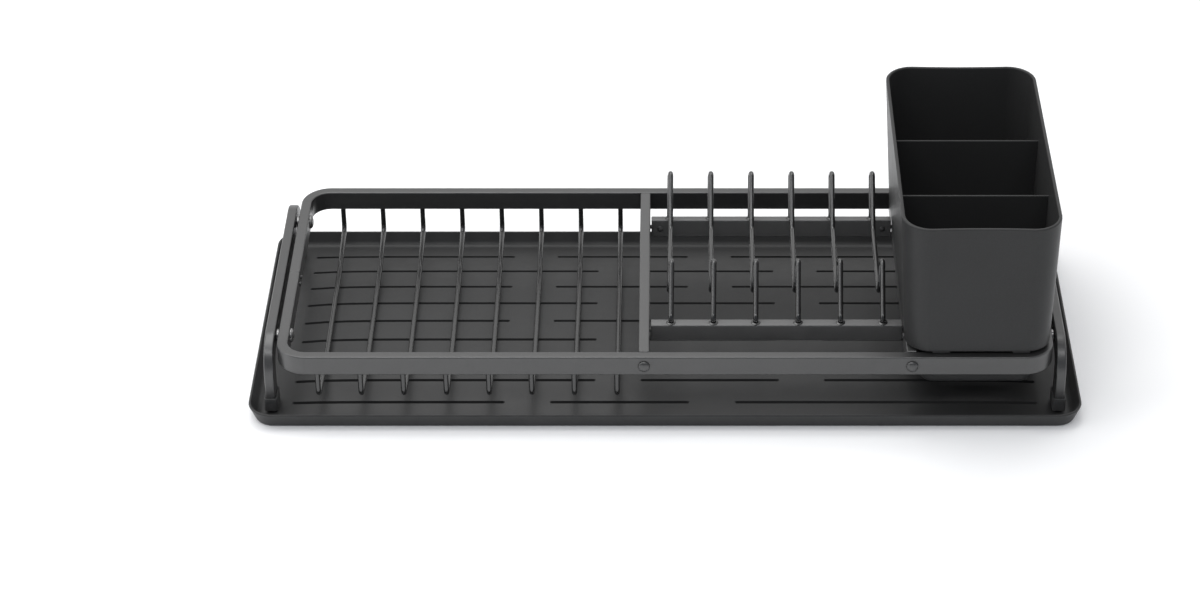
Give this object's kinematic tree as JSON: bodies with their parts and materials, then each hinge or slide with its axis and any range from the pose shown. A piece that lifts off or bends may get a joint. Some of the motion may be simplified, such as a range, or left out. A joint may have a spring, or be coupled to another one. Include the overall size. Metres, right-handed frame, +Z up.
{
  "type": "dish drying rack",
  "caption": "Compact dish drying rack of dark flat bar and bent wires, with a lift-out cutlery basket, standing in a shallow drip tray.",
  "frame": {"origin": "centre of the tray's underside, on the surface that the tray stands on", "axes": "+X to the right, towards the cutlery basket; +Y to the rear; +Z up"},
  "size_m": [0.4744, 0.194, 0.131],
  "materials": {
    "steel": "satin dark grey powder coat on flat steel bar",
    "wire": "satin dark grey coat on round steel wire",
    "tray_plastic": "fine matte moulded plastic, dark grey",
    "basket_plastic": "fine matte moulded plastic, dark grey",
    "rubber": "matte black rubber",
    "bright": "plain satin steel fasteners"
  },
  "bodies": {
    "tray": {"tray": "tray_plastic"},
    "rack": {"frame_bar": "steel", "crossbar_centre": "steel", "crossbar_right": "steel", "plate_rail_front": "steel", "plate_rail_rear": "steel", "leg_bracket_left": "steel", "leg_bracket_right": "steel", "rivet_centre_front": "steel", "rivet_centre_rear": "steel", "rivet_right_front": "steel", "rivet_right_rear": "steel", "rail_screw_front_left": "steel", "rail_screw_front_right": "steel", "rail_screw_rear_left": "steel", "rail_screw_rear_right": "steel", "rail_pin_front_left": "steel", "rail_pin_front_right": "steel", "rail_pin_rear_left": "steel", "rail_pin_rear_right": "steel", "stop_pin_left": "steel", "stop_pin_right": "steel", "splice_pin_1": "steel", "splice_pin_2": "steel", "glass_wire_1": "wire", "glass_wire_2": "wire", "glass_wire_3": "wire", "glass_wire_4": "wire", "glass_wire_5": "wire", "glass_wire_6": "wire", "glass_wire_7": "wire", "glass_wire_8": "wire", "plate_wire_1": "wire", "plate_wire_2": "wire", "plate_wire_3": "wire", "plate_wire_4": "wire", "plate_wire_5": "wire", "plate_wire_6": "wire", "foot_left_front": "rubber", "foot_left_rear": "rubber", "foot_right_front": "rubber", "foot_right_rear": "rubber", "bracket_pin_left_front": "bright", "bracket_pin_left_rear": "bright", "bracket_pin_right_front": "bright", "bracket_pin_right_rear": "bright", "pin_spacer_left_front": "bright", "pin_spacer_left_rear": "bright", "pin_spacer_right_front": "bright", "pin_spacer_right_rear": "bright"},
    "basket": {"cutlery_basket": "basket_plastic"}
  },
  "joints": [
    {"name": "rack_lift", "type": "slide", "parent": "tray", "child": "rack", "axis": [0, 0, 1], "range_m": [0, 0.08]},
    {"name": "basket_lift", "type": "slide", "parent": "rack", "child": "basket", "axis": [0, 0, 1], "range_m": [0, 0.1]}
  ]
}
